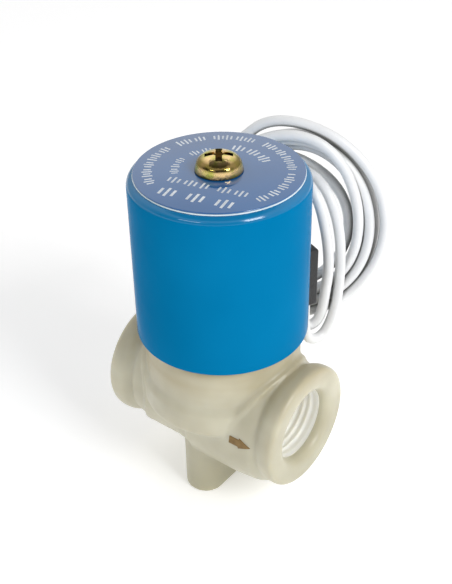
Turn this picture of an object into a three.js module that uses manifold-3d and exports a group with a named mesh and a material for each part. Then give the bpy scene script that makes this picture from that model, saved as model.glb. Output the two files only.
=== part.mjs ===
// Two-way, normally closed, direct-acting solenoid valve for water:
// plastic body with two 1/4 inch sockets, round coil in a steel cover,
// two flying leads wound into an upright ring behind the coil.
// Millimetres. +Z is up, +X is the outlet, the origin is the middle of the foot's underside.

import * as THREE from 'three';
import * as BufferGeometryUtils from 'three/addons/utils/BufferGeometryUtils.js';
import Module from 'manifold-3d';

const wasm = await Module();
wasm.setup();

// ---------------------------------------------------------------- driving dimensions

const ROUND = 44;            // facets on a large round piece
const SMALL_ROUND = 24;      // facets on a small round piece
const GAP = 0.3;             // clearance where one piece is cut for its neighbour
const SLIP = 0.12;           // clearance between nested round pieces

const PORT = {
  axisZ: 19,                 // height of the port axis
  halfLength: 19.2,          // port face to the middle of the valve
  radius: 11.5,
  threadRadius: 6.58,        // G 1/4 major radius
  mouthRadius: 7.4,
  depth: 11,
};
const MIDDLE = { radius: 11.7, reach: 15.3 };                    // plain middle, its ends rounded about Z
const BARREL = { radius: 12, axisZ: 17.7, length: 14.2 };        // thicker, lower-set outlet side
const FOOT = { radius: 3.8, holeY: 6.25, height: 12, padRadius: 6.2, padZ: 13.8, pilotRadius: 1.5, pilotDepth: 9 };
const NECK = { radius: 14.25, topZ: 34, drumRadius: 15, drumTopZ: 24, drumBottomZ: 20, taperZ: 17.6 };
const CHAMBER = { radius: 6.5, floorZ: 20.6, ledgeZ: 26.5, threadRadius: 10.1 };
const SEAT = { topZ: 23.2, radius: 2.4, orificeRadius: 1.25 };
const PASSAGE = { radius: 1.75, inletZ: 22.8, outletZ: 17.2, end: 8.7 };   // end lies inside the socket

const CAN = { radius: 15.5, bottomZ: 34.3, topZ: 64.9, wall: 1.2, cornerRadius: 1.6, holeRadius: 2.4 };
const LABEL = { radius: 14.35, thickness: 0.5, holeRadius: 2.6 };
const PLUNGER = { radius: 4.3, bottomZ: 24.1, length: 20.1, travel: 1.6, boreRadius: 3, boreDepth: 8 };
const PLUNGER_TOP = PLUNGER.bottomZ + PLUNGER.length;
const CORE = {
  radius: 4.4,
  bottomZ: PLUNGER_TOP + PLUNGER.travel + 0.2,
  topZ: CAN.topZ - CAN.wall - 0.1,
  tappedRadius: 1.75,
  tappedDepth: 9.3,
};
const TUBE = { innerRadius: 4.52, outerRadius: 5, bottomZ: 29.2, topZ: 63.3 };
const SCREW = { headRadius: 4, headHeight: 3.1, rimHeight: 1.1, topRadius: 2.9, shankRadius: 1.7, length: 10 };

const OUTLET_BLOCK = { azimuth: 66, innerR: 12.7, outerR: 17.8, width: 8, bottomZ: 34.6, height: 11.9 };
const LEAD = { diameter: 2.05, sides: 8 };
const RING = { x: 12.1, y: 20.3, z: 43.4, inner: 13.1, outer: 20.2, thickness: 4.1, yaw: -9.5, lean: 13.3 };
const LEAD_SIDE = 38.4;      // the leads' own frame is turned this far about the valve's axis

const LABEL_TOP = CAN.topZ + LABEL.thickness;
const rad = THREE.MathUtils.degToRad;

// ---------------------------------------------------------------- shape helpers

// closed solid of a three.js geometry, for joining and cutting
function solid(geometry) {
  const bare = geometry.index ? geometry.clone() : BufferGeometryUtils.mergeVertices(geometry.clone());
  bare.deleteAttribute('normal');
  bare.deleteAttribute('uv');
  const merged = BufferGeometryUtils.mergeVertices(bare, 1e-4);
  return new wasm.Manifold(new wasm.Mesh({
    numProp: 3,
    vertProperties: new Float32Array(merged.attributes.position.array),
    triVerts: new Uint32Array(merged.index.array),
  }));
}

// three.js geometry of a closed solid
function geometryOf(manifold) {
  const mesh = manifold.getMesh();
  const geometry = new THREE.BufferGeometry();
  geometry.setAttribute('position', new THREE.BufferAttribute(new Float32Array(mesh.vertProperties), 3));
  geometry.setIndex(new THREE.BufferAttribute(new Uint32Array(mesh.triVerts), 1));
  geometry.computeVertexNormals();
  return geometry;
}

// solid of revolution about Z from [radius, z] pairs
function turned(profile, facets = ROUND) {
  const points = profile.map(([r, z]) => new THREE.Vector2(r, z));
  return new THREE.LatheGeometry(points, facets).rotateX(Math.PI / 2);
}

// ring or sleeve between two radii and two heights
function sleeve(inner, outer, bottom, top, facets = ROUND) {
  return turned([[inner, bottom], [outer, bottom], [outer, top], [inner, top], [inner, bottom]], facets);
}

function upright(radius, bottom, top, facets = ROUND) {
  return turned([[0, bottom], [radius, bottom], [radius, top], [0, top]], facets);
}

// solid of revolution about X from [radius, x] pairs
function turnedAlongX(profile, facets = ROUND) {
  return turned(profile, facets).rotateY(Math.PI / 2);
}

function block(sizeX, sizeY, sizeZ, x, y, z) {
  return new THREE.BoxGeometry(sizeX, sizeY, sizeZ).translate(x, y, z);
}

// upright slab with round ends, long in Y
function oblong(radius, halfSpan, bottom, top, facets = 16) {
  const outline = new THREE.Shape();
  outline.absarc(0, halfSpan, radius, 0, Math.PI, false);
  outline.absarc(0, -halfSpan, radius, Math.PI, 2 * Math.PI, false);
  outline.closePath();
  const extrusion = { depth: top - bottom, bevelEnabled: false, curveSegments: facets };
  return new THREE.ExtrudeGeometry(outline, extrusion).translate(0, 0, bottom);
}

// quarter-round corner from (radius, z) to (radius - r, z + r), as profile points
function roundedCorner(radius, z, r, steps = 5) {
  const points = [];
  for (let i = 0; i <= steps; i++) {
    const angle = (Math.PI / 2) * (i / steps);
    points.push([radius - r + r * Math.cos(angle), z + r * Math.sin(angle)]);
  }
  return points;
}

// round rod along a curve
function rod(curve, radius, steps, sides) {
  const section = new THREE.Shape();
  for (let i = 0; i < sides; i++) {
    const angle = (2 * Math.PI * i) / sides;
    const [x, y] = [radius * Math.cos(angle), radius * Math.sin(angle)];
    if (i === 0) section.moveTo(x, y);
    else section.lineTo(x, y);
  }
  section.closePath();
  return new THREE.ExtrudeGeometry(section, { steps, extrudePath: curve, curveSegments: 1, bevelEnabled: false });
}

const valve = new THREE.Group();

function add(name, geometry, colour, roughness, metalness, parent = valve) {
  const material = new THREE.MeshStandardMaterial({ color: colour, roughness, metalness });
  const mesh = new THREE.Mesh(geometry, material);
  mesh.name = name;
  parent.add(mesh);
  return mesh;
}

// ---------------------------------------------------------------- valve body

// one port, facing +X: a shallow waist, then the collar round the socket
function portHalf() {
  const { halfLength, radius } = PORT;
  const end = roundedCorner(radius, halfLength - 1, 1, 4);
  return turnedAlongX([
    [0, -0.5], [radius - 0.5, -0.5], [radius - 0.5, 13.4], [radius - 1.2, 14.2], [radius - 0.4, 15.9],
    [radius, 17.2], ...end, [0, halfLength],
  ]);
}

// plain middle between the collars, cut to the round of the neck above it
function portMiddle() {
  const { radius, reach } = MIDDLE;
  const along = turnedAlongX([[0, -reach], [radius, -reach], [radius, reach], [0, reach]]);
  const round = upright(reach, 0, NECK.topZ);
  return solid(along.translate(0, 0, PORT.axisZ)).intersect(solid(round));
}

// thicker middle of the outlet side, about its own lower axis
function outletBarrel() {
  const { radius, axisZ, length } = BARREL;
  return turnedAlongX([
    [0, 0], [radius, 0], [radius, length - 4], [radius - 0.4, length], [radius - 1.2, length + 1.8],
    [0, length + 1.8],
  ]).translate(0, 0, axisZ);
}

function socketCut() {
  const { halfLength, threadRadius, mouthRadius, depth } = PORT;
  return turnedAlongX([
    [0, halfLength - depth], [threadRadius, halfLength - depth], [threadRadius, halfLength - 0.9],
    [mouthRadius, halfLength - 0.1], [mouthRadius, halfLength + 1], [0, halfLength + 1],
  ], 40);
}

function valveBody() {
  const half = portHalf();
  let body = solid(half.clone().translate(0, 0, PORT.axisZ));
  body = body.add(solid(half.rotateZ(Math.PI).translate(0, 0, PORT.axisZ)));
  body = body.add(portMiddle());
  body = body.add(solid(outletBarrel()));
  body = body.add(solid(turned([
    [0, NECK.taperZ], [NECK.drumRadius - 2.4, NECK.taperZ], [NECK.drumRadius, NECK.drumBottomZ],
    [NECK.drumRadius, NECK.drumTopZ], [NECK.radius, NECK.drumTopZ + 1.8],
    [NECK.radius, NECK.topZ - 0.4], [NECK.radius - 0.4, NECK.topZ], [0, NECK.topZ],
  ])));
  body = body.add(solid(oblong(FOOT.padRadius, FOOT.holeY - 1, FOOT.padZ, PORT.axisZ)));
  body = body.add(solid(oblong(FOOT.radius, FOOT.holeY, 0, FOOT.height + 2)));

  const socket = socketCut();
  const cuts = [
    socket.clone().translate(0, 0, PORT.axisZ),
    socket.rotateZ(Math.PI).translate(0, 0, PORT.axisZ),
    upright(CHAMBER.threadRadius, CHAMBER.ledgeZ, NECK.topZ + 1),
    sleeve(SEAT.radius, CHAMBER.radius, CHAMBER.floorZ, CHAMBER.ledgeZ + 0.5, 40),
    upright(CHAMBER.radius - 0.5, SEAT.topZ, CHAMBER.ledgeZ + 0.5, 40),
    upright(SEAT.orificeRadius, PASSAGE.outletZ, SEAT.topZ + 0.5, SMALL_ROUND),
    turnedAlongX([[0, 0], [PASSAGE.radius, 0], [PASSAGE.radius, PASSAGE.end], [0, PASSAGE.end]], SMALL_ROUND)
      .translate(0, 0, PASSAGE.outletZ),
    turnedAlongX([[0, -PASSAGE.end], [PASSAGE.radius, -PASSAGE.end], [PASSAGE.radius, -5], [0, -5]], SMALL_ROUND)
      .translate(0, 0, PASSAGE.inletZ),
    arrowGeometry(GAP, ARROW.back - 0.3, ARROW.back + 3),
  ];
  for (const side of [-1, 1]) {
    cuts.push(upright(FOOT.pilotRadius, -1, FOOT.pilotDepth, 20).translate(0, side * FOOT.holeY, 0));
  }
  for (const cut of cuts) body = body.subtract(solid(cut));
  return geometryOf(body);
}

// flow arrow let into the front of the outlet port, pointing at +X
const ARROW = { tailX: 10.3, tipX: 14.5, z: 20, stem: 0.7, head: 1, headLength: 2.4, back: 11.4, thickness: 0.4 };

function arrowGeometry(grow, near, far) {
  const { tailX, tipX, stem, head, headLength, z } = ARROW;
  const neck = tipX - headLength;
  const outline = new THREE.Shape();
  outline.moveTo(tailX - grow, -stem - grow);
  outline.lineTo(neck - grow, -stem - grow);
  outline.lineTo(neck - grow, -head - grow);
  outline.lineTo(tipX + 1.5 * grow, 0);
  outline.lineTo(neck - grow, head + grow);
  outline.lineTo(neck - grow, stem + grow);
  outline.lineTo(tailX - grow, stem + grow);
  outline.closePath();
  const plate = new THREE.ExtrudeGeometry(outline, { depth: far - near, bevelEnabled: false });
  return plate.rotateX(Math.PI / 2).translate(0, -near, z);
}

add('valve_body', valveBody(), '#c9c1a6', 0.42, 0);
add('flow_arrow', arrowGeometry(0, ARROW.back, ARROW.back + ARROW.thickness), '#7a5a2a', 0.5, 0);

// ---------------------------------------------------------------- guide tube set, fixed in the body

const RING_SEAL = { meanRadius: 8.3, section: 0.8 };
const sealCentreZ = CHAMBER.ledgeZ + 0.1 + RING_SEAL.section;
const sealProfile = [];
for (let i = 0; i <= 8; i++) {
  const angle = (2 * Math.PI * i) / 8;
  sealProfile.push([
    RING_SEAL.meanRadius + RING_SEAL.section * Math.cos(angle),
    sealCentreZ + RING_SEAL.section * Math.sin(angle),
  ]);
}
add('body_seal_ring', turned(sealProfile, 32), '#1a1a1a', 0.7, 0);

// threaded bush that screws into the body and carries the guide tube
const BUSH = { outer: 9.95, bottomZ: 26.8, topZ: 33.8, grooveInner: 7.3, grooveOuter: 9.3, grooveTop: 28.35 };
add('guide_bush', turned([
  [4.7, BUSH.bottomZ], [BUSH.grooveInner, BUSH.bottomZ], [BUSH.grooveInner, BUSH.grooveTop],
  [BUSH.grooveOuter, BUSH.grooveTop], [BUSH.grooveOuter, BUSH.bottomZ], [BUSH.outer, BUSH.bottomZ],
  [BUSH.outer, BUSH.topZ], [TUBE.outerRadius + SLIP, BUSH.topZ], [TUBE.outerRadius + SLIP, 29],
  [4.7, 29], [4.7, BUSH.bottomZ],
]), '#c8a24a', 0.35, 0.9);
add('guide_tube', sleeve(TUBE.innerRadius, TUBE.outerRadius, TUBE.bottomZ, TUBE.topZ, 40), '#c9ccd0', 0.25, 1);

function fixedCore() {
  const core = solid(upright(CORE.radius, CORE.bottomZ, CORE.topZ, 40));
  const tapped = solid(upright(CORE.tappedRadius + SLIP, CORE.topZ - CORE.tappedDepth, CORE.topZ + 1, 20));
  return geometryOf(core.subtract(tapped));
}
add('fixed_core', fixedCore(), '#a9adb2', 0.35, 1);

// ---------------------------------------------------------------- plunger set, slides in the guide tube

const boreFloor = PLUNGER_TOP - PLUNGER.boreDepth;
const pocketTop = PLUNGER.bottomZ + 2;
add('plunger', turned([
  [3.1, PLUNGER.bottomZ], [PLUNGER.radius, PLUNGER.bottomZ], [PLUNGER.radius, PLUNGER_TOP],
  [PLUNGER.boreRadius, PLUNGER_TOP], [PLUNGER.boreRadius, boreFloor], [0, boreFloor],
  [0, pocketTop], [3.1, pocketTop], [3.1, PLUNGER.bottomZ],
], 40), '#b4b8bd', 0.3, 1);
add('plunger_seal', turned([
  [0, SEAT.topZ + 0.05], [2.9, SEAT.topZ + 0.05], [2.9, pocketTop - 0.1], [0, pocketTop - 0.1],
], SMALL_ROUND), '#2a1c18', 0.75, 0);

// return spring in the plunger's bore, pushing on the fixed core
const SPRING = { meanRadius: 2.2, wire: 0.25, turns: 7, bottomZ: boreFloor + 0.35, topZ: CORE.bottomZ - 0.35 };

class Helix extends THREE.Curve {
  getPoint(t, target = new THREE.Vector3()) {
    const angle = 2 * Math.PI * SPRING.turns * t;
    const z = THREE.MathUtils.lerp(SPRING.bottomZ, SPRING.topZ, t);
    return target.set(SPRING.meanRadius * Math.cos(angle), SPRING.meanRadius * Math.sin(angle), z);
  }
}
add('return_spring', rod(new Helix(), SPRING.wire, SPRING.turns * 12, 5), '#d5d8dc', 0.25, 1);

// ---------------------------------------------------------------- coil unit

const coil = new THREE.Group();
valve.add(coil);

const blockAngle = rad(OUTLET_BLOCK.azimuth);

// box on the lead outlet's radius, grown all round
function outletBox(grow, innerR, outerR) {
  const { width, bottomZ, height } = OUTLET_BLOCK;
  const length = outerR - innerR;
  return block(length, width + 2 * grow, height + 2 * grow, (innerR + outerR) / 2, 0, bottomZ + height / 2)
    .rotateZ(blockAngle);
}

function coilCover() {
  const { radius, bottomZ, topZ, wall, cornerRadius, holeRadius } = CAN;
  const shell = solid(turned([
    [holeRadius, topZ - wall], [radius - wall, topZ - wall], [radius - wall, bottomZ], [radius, bottomZ],
    ...roundedCorner(radius, topZ - cornerRadius, cornerRadius), [holeRadius, topZ], [holeRadius, topZ - wall],
  ], 60));
  return geometryOf(shell.subtract(solid(outletBox(GAP, OUTLET_BLOCK.innerR - 2, OUTLET_BLOCK.outerR + 2))));
}
add('coil_cover', coilCover(), '#0f74b4', 0.25, 0.1, coil);

add('rating_label', sleeve(LABEL.holeRadius, LABEL.radius, CAN.topZ + 0.02, LABEL_TOP, 60),
  '#2a6aa0', 0.12, 0.2, coil);

const innerWall = CAN.radius - CAN.wall;
const PLATE = { thickness: 2, bottomZ: CAN.bottomZ + 0.2 };
function bottomPlate() {
  const plate = solid(sleeve(5.3, innerWall - SLIP, PLATE.bottomZ, PLATE.bottomZ + PLATE.thickness));
  return geometryOf(plate.subtract(solid(outletBox(GAP, OUTLET_BLOCK.innerR - GAP, OUTLET_BLOCK.outerR))));
}
add('bottom_plate', bottomPlate(), '#b9bcc0', 0.4, 1, coil);

// bobbin: tube with two flanges
const BOBBIN = { bore: 5.2, hub: 6.1, flange: 12.3, bottomZ: 36.7, topZ: 63.4, flangeThickness: 1.2 };
const windowBottom = BOBBIN.bottomZ + BOBBIN.flangeThickness;
const windowTop = BOBBIN.topZ - BOBBIN.flangeThickness;
add('bobbin', turned([
  [BOBBIN.bore, BOBBIN.bottomZ], [BOBBIN.flange, BOBBIN.bottomZ], [BOBBIN.flange, windowBottom],
  [BOBBIN.hub, windowBottom], [BOBBIN.hub, windowTop], [BOBBIN.flange, windowTop],
  [BOBBIN.flange, BOBBIN.topZ], [BOBBIN.bore, BOBBIN.topZ], [BOBBIN.bore, BOBBIN.bottomZ],
]), '#e8e4d8', 0.5, 0, coil);
add('winding', sleeve(BOBBIN.hub + SLIP, 11.4, windowBottom + 0.1, windowTop - 0.1), '#b5632c', 0.4, 0.8, coil);
add('winding_tape', sleeve(11.5, 11.9, windowBottom + 0.1, windowTop - 0.1), '#d9c23a', 0.5, 0, coil);

function fillCompound() {
  const fill = solid(sleeve(BOBBIN.flange + SLIP, innerWall - SLIP, BOBBIN.bottomZ, BOBBIN.topZ));
  return geometryOf(fill.subtract(solid(outletBox(GAP, OUTLET_BLOCK.innerR - 3, OUTLET_BLOCK.outerR))));
}
add('fill_compound', fillCompound(), '#1d1d1f', 0.6, 0, coil);
add('lead_outlet', outletBox(0, OUTLET_BLOCK.innerR, OUTLET_BLOCK.outerR), '#17181a', 0.55, 0, coil);

// ---------------------------------------------------------------- retaining screw

const RECESS_TURN = 38;       // the cross recess as the screw happens to be turned

// pan head: short upright rim, quarter-round shoulder, slightly domed top
function panHeadScrew() {
  const { headRadius, headHeight, rimHeight, topRadius, shankRadius, length } = SCREW;
  const headZ = LABEL_TOP + 0.05;
  const shoulder = [];
  for (let i = 0; i <= 4; i++) {
    const angle = (Math.PI / 2) * (i / 4);
    const radius = topRadius + (headRadius - topRadius) * Math.cos(angle);
    shoulder.push([radius, headZ + rimHeight + (headHeight - 0.35 - rimHeight) * Math.sin(angle)]);
  }
  const screw = solid(turned([
    [0, headZ - length], [shankRadius, headZ - length], [shankRadius, headZ], [headRadius - 0.2, headZ],
    ...shoulder, [topRadius / 2, headZ + headHeight - 0.1], [0, headZ + headHeight],
  ], 32));
  let recess = solid(block(4.4, 0.9, 3, 0, 0, headZ + headHeight));
  recess = recess.add(solid(block(0.9, 4.4, 3, 0, 0, headZ + headHeight)));
  return geometryOf(screw.subtract(recess.rotate([0, 0, RECESS_TURN])));
}
add('retaining_screw', panHeadScrew(), '#d8b04a', 0.22, 1);

// ---------------------------------------------------------------- flying leads

// the leads' frame: x to the side of the coil, y behind it, z up
const leads = new THREE.Group();
leads.rotation.z = rad(LEAD_SIDE);
coil.add(leads);

// free stretch of each lead, from the outlet block to the ring
const LEAD_ROUTES = {
  lead_a: [
    [13.8, 9.1, 34.2], [14, 9.3, 31.5], [14.4, 9.6, 28.2], [15.3, 10.2, 26.1], [16.9, 10.9, 25.1],
    [18.4, 11.3, 26.1], [19.3, 11.6, 28.5], [19.8, 11.8, 32.5], [20.2, 12, 37.5], [19.9, 12.3, 42.5], [19, 12.9, 47.5], [17.7, 14.1, 51.7],
    [15.8, 16.5, 54], [13.3, 19.2, 55.1], [10.9, 21, 55.3], [8.9, 22.1, 54.7],
  ],
  lead_b: [
    [15.4, 6.1, 34.2], [15.4, 6.3, 31], [15.6, 6.6, 27.6], [16.3, 7.4, 25], [17.8, 8.8, 23.4],
    [19.6, 10.1, 23.8], [21, 11, 26.2], [21.9, 11.7, 29.6], [22.4, 12.4, 33.6], [22.6, 13.4, 38.5], [22.2, 14.1, 44], [21.1, 15.2, 48.6],
    [19.6, 17.2, 51.8], [17.8, 19.5, 53.6], [15.6, 21.7, 54.5], [13.2, 23.2, 54.8], [10.9, 24.2, 54.5],
  ],
};
for (const [name, route] of Object.entries(LEAD_ROUTES)) {
  const curve = new THREE.CatmullRomCurve3(route.map((p) => new THREE.Vector3(...p)), false, 'centripetal');
  add(name, rod(curve, LEAD.diameter / 2, 26, LEAD.sides), '#eceded', 0.4, 0, leads);
}

// the wound length of both leads; the ring's own frame has its axis along Y
const ring = new THREE.Group();
ring.position.set(RING.x, RING.y, RING.z);
ring.rotation.order = 'ZXY';
ring.rotation.z = rad(RING.yaw);
ring.rotation.x = rad(-RING.lean);
leads.add(ring);

function ringSolid() {
  const half = RING.thickness / 2;
  const bevel = 0.7;
  return turned([
    [RING.inner, -half + bevel], [RING.inner + bevel, -half], [RING.outer - bevel, -half],
    [RING.outer, -half + bevel], [RING.outer, half - bevel], [RING.outer - bevel, half],
    [RING.inner + bevel, half], [RING.inner, half - bevel], [RING.inner, -half + bevel],
  ], 40).rotateX(Math.PI / 2);
}
add('lead_ring', ringSolid(), '#eceded', 0.4, 0, ring);

// a stretch of arc about the ring's axis, angles in degrees from the ring's +X, turning towards +Z
class RingArc extends THREE.Curve {
  constructor(radius, offset, from, to) {
    super();
    Object.assign(this, { radius, offset, from, to });
  }
  getPoint(t, target = new THREE.Vector3()) {
    const angle = rad(THREE.MathUtils.lerp(this.from, this.to, t));
    return target.set(this.radius * Math.cos(angle), this.offset, this.radius * Math.sin(angle));
  }
}

// each lead's last stretch lies along the inside of the ring and ends in a tinned tip
const TAIL = { radius: RING.inner - GAP - LEAD.diameter / 2, offset: 1.2, from: 190, to: 240, tipTo: 262 };
const TIP_RADIUS = 0.5;
for (const [letter, side] of [['a', -1], ['b', 1]]) {
  const offset = side * TAIL.offset;
  const to = TAIL.to + 8 * side;
  const tipFrom = to + 1.5;
  const tail = new RingArc(TAIL.radius, offset, TAIL.from, to);
  const tip = new RingArc(TAIL.radius, offset, tipFrom, TAIL.tipTo + 8 * side);
  add(`lead_${letter}_tail`, rod(tail, LEAD.diameter / 2, 6, LEAD.sides), '#eceded', 0.4, 0, ring);
  add(`lead_${letter}_tip`, rod(tip, TIP_RADIUS, 3, 8), '#c9ccd0', 0.3, 1, ring);
}

// strap round the ring's section that holds the turns together
const TIE = { angle: 158, width: 2.4, wall: 0.8, headSize: 3.6 };
function leadTie() {
  const middle = (RING.inner + RING.outer) / 2;
  const depth = RING.outer - RING.inner + 2 * GAP;
  const thick = RING.thickness + 2 * GAP;
  const outside = solid(block(depth + 2 * TIE.wall, thick + 2 * TIE.wall, TIE.width, middle, 0, 0));
  const head = solid(block(TIE.headSize, 2.6, TIE.headSize, middle, thick / 2 + 1.3, 0));
  const inside = solid(block(depth, thick, TIE.width * 3, middle, 0, 0));
  return geometryOf(outside.add(head).subtract(inside)).rotateY(-rad(TIE.angle));
}
add('lead_tie', leadTie(), '#f2f2f0', 0.45, 0, ring);

export default valve;
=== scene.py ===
"""Looks of the solenoid valve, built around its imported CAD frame. Metres, in the CAD's axes."""

import math

import bmesh
import bpy
import numpy as np
from mathutils import Matrix, Vector


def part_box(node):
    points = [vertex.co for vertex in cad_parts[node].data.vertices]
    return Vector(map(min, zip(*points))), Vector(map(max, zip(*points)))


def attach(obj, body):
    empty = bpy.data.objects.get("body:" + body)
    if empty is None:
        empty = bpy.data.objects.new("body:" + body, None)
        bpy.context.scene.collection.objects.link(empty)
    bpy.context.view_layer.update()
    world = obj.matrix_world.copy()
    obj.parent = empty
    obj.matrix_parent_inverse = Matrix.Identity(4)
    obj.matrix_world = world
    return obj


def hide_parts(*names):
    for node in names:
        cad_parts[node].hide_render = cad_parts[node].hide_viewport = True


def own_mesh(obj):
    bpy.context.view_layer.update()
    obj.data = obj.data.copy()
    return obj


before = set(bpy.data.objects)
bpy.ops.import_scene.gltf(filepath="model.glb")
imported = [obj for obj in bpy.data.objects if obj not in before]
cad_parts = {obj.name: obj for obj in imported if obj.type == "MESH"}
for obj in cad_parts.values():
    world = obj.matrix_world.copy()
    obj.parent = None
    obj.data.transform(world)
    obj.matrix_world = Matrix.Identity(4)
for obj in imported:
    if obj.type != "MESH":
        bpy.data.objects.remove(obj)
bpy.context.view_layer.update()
MM = 0.001
LABEL_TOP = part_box("rating_label")[1][2]


# ---------------------------------------------------------------- camera

def make_camera():
    """Camera at the photograph's angle, its place measured from the middle of the label."""
    azimuth, elevation, roll = (math.radians(angle) for angle in (38.42, 34.59, -1.18))
    distance, to_the_right, upwards = 0.1688, 0.00072, -0.02017
    back = Vector((math.sin(azimuth) * math.cos(elevation), -math.cos(azimuth) * math.cos(elevation),
                   math.sin(elevation)))
    right = Vector((math.cos(azimuth), math.sin(azimuth), 0))
    up = back.cross(right)
    place = Vector((0, 0, LABEL_TOP)) + back * distance + right * to_the_right + up * upwards
    across = math.cos(roll) * right + math.sin(roll) * up
    upright = math.cos(roll) * up - math.sin(roll) * right
    turn = Matrix((across, upright, back)).transposed().to_4x4()
    data = bpy.data.cameras.new("camera")
    data.lens = 63.25
    data.sensor_width = 36
    data.clip_start = 0.005
    camera = bpy.data.objects.new("camera", data)
    camera.matrix_world = Matrix.Translation(place) @ turn
    bpy.context.collection.objects.link(camera)
    bpy.context.scene.camera = camera


make_camera()


# ---------------------------------------------------------------- materials

def shader(name, colour, roughness, metallic=0.0, **values):
    """A material and its shader; the values go straight onto the shader's sockets."""
    material = bpy.data.materials.new(name)
    material.use_nodes = True
    principled = material.node_tree.nodes["Principled BSDF"]
    principled.inputs["Base Color"].default_value = (*colour, 1)
    principled.inputs["Roughness"].default_value = roughness
    principled.inputs["Metallic"].default_value = metallic
    for key, value in values.items():
        principled.inputs[key.replace("_", " ")].default_value = value
    return material, principled


def node(material, kind, **values):
    """A new node; each value is one of its properties or, failing that, one of its sockets."""
    made = material.node_tree.nodes.new(kind)
    for key, value in values.items():
        if hasattr(made, key):
            setattr(made, key, value)
        else:
            made.inputs[key.replace("_", " ")].default_value = value
    return made


def join(material, out, into):
    material.node_tree.links.new(out, into)


def noise(material, scale, detail=3, stretch=None):
    """Noise over the object's own coordinates; scale is in features per metre."""
    coords = node(material, "ShaderNodeTexCoord")
    texture = node(material, "ShaderNodeTexNoise", Scale=scale, Detail=detail)
    source = coords.outputs["Object"]
    if stretch:
        mapping = node(material, "ShaderNodeMapping", Scale=stretch)
        join(material, source, mapping.inputs["Vector"])
        source = mapping.outputs["Vector"]
    join(material, source, texture.inputs["Vector"])
    return texture.outputs["Fac"]


def spread(material, source, low, high, start=0.3, end=0.7):
    """Turns the source's range, start to end, into low to high."""
    ramp = node(material, "ShaderNodeMapRange", From_Min=start, From_Max=end, To_Min=low, To_Max=high)
    join(material, source, ramp.inputs["Value"])
    return ramp.outputs["Result"]


def colour_mix(material, factor):
    """The two colour sockets and the output of a mix driven by the factor."""
    mix = node(material, "ShaderNodeMix", data_type="RGBA")
    join(material, factor, mix.inputs["Factor"])
    first, second = (socket for socket in mix.inputs if socket.type == "RGBA")
    return first, second, next(out for out in mix.outputs if out.type == "RGBA")


def tint(material, factor, first, second):
    """A colour between two plain ones."""
    at_zero, at_one, out = colour_mix(material, factor)
    at_zero.default_value = (*first, 1)
    at_one.default_value = (*second, 1)
    return out


def mixed(material, factor, first, second):
    """A colour output mixed towards a plain colour."""
    at_zero, at_one, out = colour_mix(material, factor)
    join(material, first, at_zero)
    at_one.default_value = (*second, 1)
    return out


def maths(material, operation, first, second=None):
    """Arithmetic on an output and, where it is given, another output or a number."""
    made = node(material, "ShaderNodeMath", operation=operation)
    join(material, first, made.inputs[0])
    if isinstance(second, float):
        made.inputs[1].default_value = second
    elif second:
        join(material, second, made.inputs[1])
    return made.outputs["Value"]


def height_of(material):
    """Height above the floor, metres."""
    coords = node(material, "ShaderNodeTexCoord")
    parts = node(material, "ShaderNodeSeparateXYZ")
    join(material, coords.outputs["Object"], parts.inputs["Vector"])
    return parts.outputs["Z"]


def crevices(material, distance):
    """0 in a tight hollow, 1 in the open."""
    return node(material, "ShaderNodeAmbientOcclusion", samples=16, Distance=distance).outputs["AO"]


def bump(material, principled, source, height):
    made = node(material, "ShaderNodeBump", Distance=height)
    join(material, source, made.inputs["Height"])
    join(material, made.outputs["Normal"], principled.inputs["Normal"])


def surface(name, dark, light, rough, metallic=0.0, patch=300, grain=3000, height=0.00002, stretch=None,
            **values):
    """A finish that varies in colour over patches and in roughness and height over its grain."""
    material, principled = shader(name, light, rough[0], metallic, **values)
    patches = spread(material, noise(material, patch, stretch=stretch), 0, 1)
    fine = noise(material, grain, 4, stretch=stretch)
    join(material, tint(material, patches, dark, light), principled.inputs["Base Color"])
    join(material, spread(material, fine, *rough), principled.inputs["Roughness"])
    bump(material, principled, fine, height)
    return material


def clouds(material, scale, detail=2, start=0.3, end=0.7):
    """Soft patches, 0 to 1."""
    return spread(material, noise(material, scale, detail), 0, 1, start, end)


def moulded_grain(material, principled):
    """The fine, slightly uneven gloss of the moulded body."""
    fine = noise(material, 1400, 3)
    join(material, spread(material, fine, 0.3, 0.42), principled.inputs["Roughness"])
    bump(material, principled, fine, 0.00002)


def milky_plastic():
    """Milky moulded plastic, with painted shade darkening it towards the foot; the brownish band near the top
    of the neck is partly the brass bush inside showing through and partly painted shade under the cover.
    """
    foot_shade, bush_and_shade_band = (0.003, 0.021), (0.0255, 0.031)
    material, principled = shader("milky_plastic", (0.66, 0.62, 0.47), 0.36, IOR=1.5, Subsurface_Weight=0.5,
                                  Subsurface_Radius=(1.0, 0.85, 0.6), Subsurface_Scale=0.003)
    base = tint(material, clouds(material, 110, 2, 0.35, 0.65), (0.5, 0.47, 0.35), (0.61, 0.585, 0.455))
    height = height_of(material)
    # painted shade: the colour darkens towards the foot
    low = mixed(material, spread(material, height, 1, 0, *foot_shade), base, (0.43, 0.405, 0.285))
    # brownish band under the cover: partly the brass bush showing through, partly painted shade
    rise = spread(material, height, 0, 1, *bush_and_shade_band)
    waves = spread(material, noise(material, 60, 1, stretch=(1, 1, 6)), 0.3, 0.75)
    colour = mixed(material, maths(material, "MULTIPLY", rise, waves), low, (0.4, 0.33, 0.18))
    join(material, colour, principled.inputs["Base Color"])
    moulded_grain(material, principled)
    return material


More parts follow.
